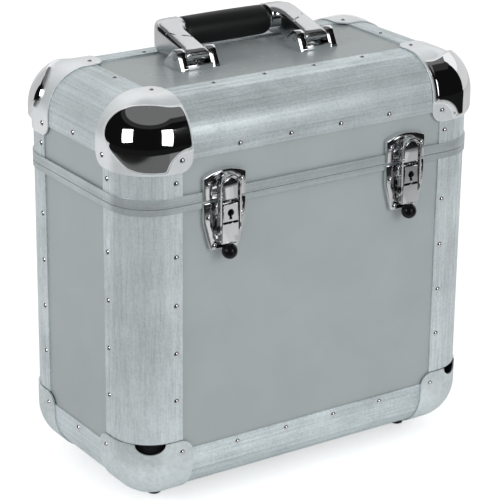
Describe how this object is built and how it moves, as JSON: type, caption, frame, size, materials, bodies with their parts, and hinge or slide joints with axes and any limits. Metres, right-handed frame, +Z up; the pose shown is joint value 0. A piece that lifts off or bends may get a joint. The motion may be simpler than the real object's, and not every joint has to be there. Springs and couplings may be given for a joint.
{
  "type": "record carrying case",
  "caption": "Aluminium-edged carrying case for 12-inch records, with a hinged lid, keyed draw latches, ball corners and a folding top handle.",
  "frame": {"origin": "centre of the object's footprint, on the plane of the feet", "axes": "+Z up, +X to the right along the long side, latches on the -Y face, hinges on the +Y face"},
  "size_m": [0.3688, 0.221, 0.394],
  "materials": {
    "grey_panel": "plywood with a satin grey laminate face",
    "edge_aluminium": "brushed",
    "rim_aluminium": "brushed",
    "cap_aluminium": "satin",
    "corner_chrome": "polished",
    "fitting_chrome": "polished",
    "rivet_steel": "polished",
    "hinge_steel": "plated",
    "black_rubber": "matte",
    "grip_black": "moulded",
    "tip_black": "gloss",
    "foam": "foam"
  },
  "bodies": {
    "body": {"back_board": "grey_panel", "base_pad": "foam", "body_edge_back_left": "edge_aluminium", "body_edge_back_right": "edge_aluminium", "body_edge_front_left": "edge_aluminium", "body_edge_front_right": "edge_aluminium", "body_fasteners": "rivet_steel", "body_rim": "rim_aluminium", "bottom_board": "grey_panel", "bottom_cap_back_left": "cap_aluminium", "bottom_cap_back_right": "cap_aluminium", "bottom_cap_front_left": "cap_aluminium", "bottom_cap_front_right": "cap_aluminium", "bottom_edge_back": "edge_aluminium", "bottom_edge_front": "edge_aluminium", "bottom_edge_left": "edge_aluminium", "bottom_edge_right": "edge_aluminium", "feet": "black_rubber", "front_board": "grey_panel", "hinge_leaves_body": "hinge_steel", "hinge_pins": "hinge_steel", "latch_base_left": "fitting_chrome", "latch_base_right": "fitting_chrome", "left_board": "grey_panel", "right_board": "grey_panel"},
    "lid": {"ball_corner_back_left": "corner_chrome", "ball_corner_back_right": "corner_chrome", "ball_corner_front_left": "corner_chrome", "ball_corner_front_right": "corner_chrome", "handle_brackets": "fitting_chrome", "handle_pins": "fitting_chrome", "hinge_leaves_lid": "hinge_steel", "keeper_left": "fitting_chrome", "keeper_right": "fitting_chrome", "lid_back_board": "grey_panel", "lid_edges": "edge_aluminium", "lid_end_boards": "grey_panel", "lid_fasteners": "rivet_steel", "lid_front_board": "grey_panel", "lid_pad": "foam", "lid_rim": "rim_aluminium", "lid_top_board": "grey_panel", "top_edge_back": "edge_aluminium", "top_edge_front": "edge_aluminium", "top_edge_left": "edge_aluminium", "top_edge_right": "edge_aluminium"},
    "handle": {"handle_arm_left": "fitting_chrome", "handle_arm_right": "fitting_chrome", "handle_grip": "grip_black"},
    "lever_left": {"latch_lever_left": "fitting_chrome", "lever_pins_left": "fitting_chrome", "lever_tip_left": "tip_black"},
    "hook_left": {"latch_hook_left": "fitting_chrome"},
    "plug_left": {"lock_plug_left": "fitting_chrome"},
    "lever_right": {"latch_lever_right": "fitting_chrome", "lever_pins_right": "fitting_chrome", "lever_tip_right": "tip_black"},
    "hook_right": {"latch_hook_right": "fitting_chrome"},
    "plug_right": {"lock_plug_right": "fitting_chrome"}
  },
  "joints": [
    {"name": "lid_hinge", "type": "hinge", "parent": "body", "child": "lid", "pos_m": [0, 0.10695, 0.2799], "axis": [-1, 0, 0], "range_deg": [0, 100]},
    {"name": "handle_pivot", "type": "hinge", "parent": "lid", "child": "handle", "pos_m": [0, 0.00125, 0.3748], "axis": [1, 0, 0], "range_deg": [0, 90]},
    {"name": "lever_pivot_left", "type": "hinge", "parent": "body", "child": "lever_left", "pos_m": [-0.0934, -0.10075, 0.2758], "axis": [-1, 0, 0], "range_deg": [0, 150]},
    {"name": "hook_link_left", "type": "hinge", "parent": "lever_left", "child": "hook_left", "pos_m": [-0.0934, -0.10025, 0.2533], "axis": [-1, 0, 0], "range_deg": [-150, 0]},
    {"name": "lock_turn_left", "type": "hinge", "parent": "lever_left", "child": "plug_left", "pos_m": [-0.0934, -0.10025, 0.2688], "axis": [0, 1, 0], "range_deg": [0, 90]},
    {"name": "lever_pivot_right", "type": "hinge", "parent": "body", "child": "lever_right", "pos_m": [0.0934, -0.10075, 0.2758], "axis": [-1, 0, 0], "range_deg": [0, 150]},
    {"name": "hook_link_right", "type": "hinge", "parent": "lever_right", "child": "hook_right", "pos_m": [0.0934, -0.10025, 0.2533], "axis": [-1, 0, 0], "range_deg": [-150, 0]},
    {"name": "lock_turn_right", "type": "hinge", "parent": "lever_right", "child": "plug_right", "pos_m": [0.0934, -0.10025, 0.2688], "axis": [0, 1, 0], "range_deg": [0, 90]}
  ],
  "couplings": [
    {"joint": "hook_link_left", "follows": "lever_pivot_left", "ratio": -1},
    {"joint": "hook_link_right", "follows": "lever_pivot_right", "ratio": -1}
  ]
}
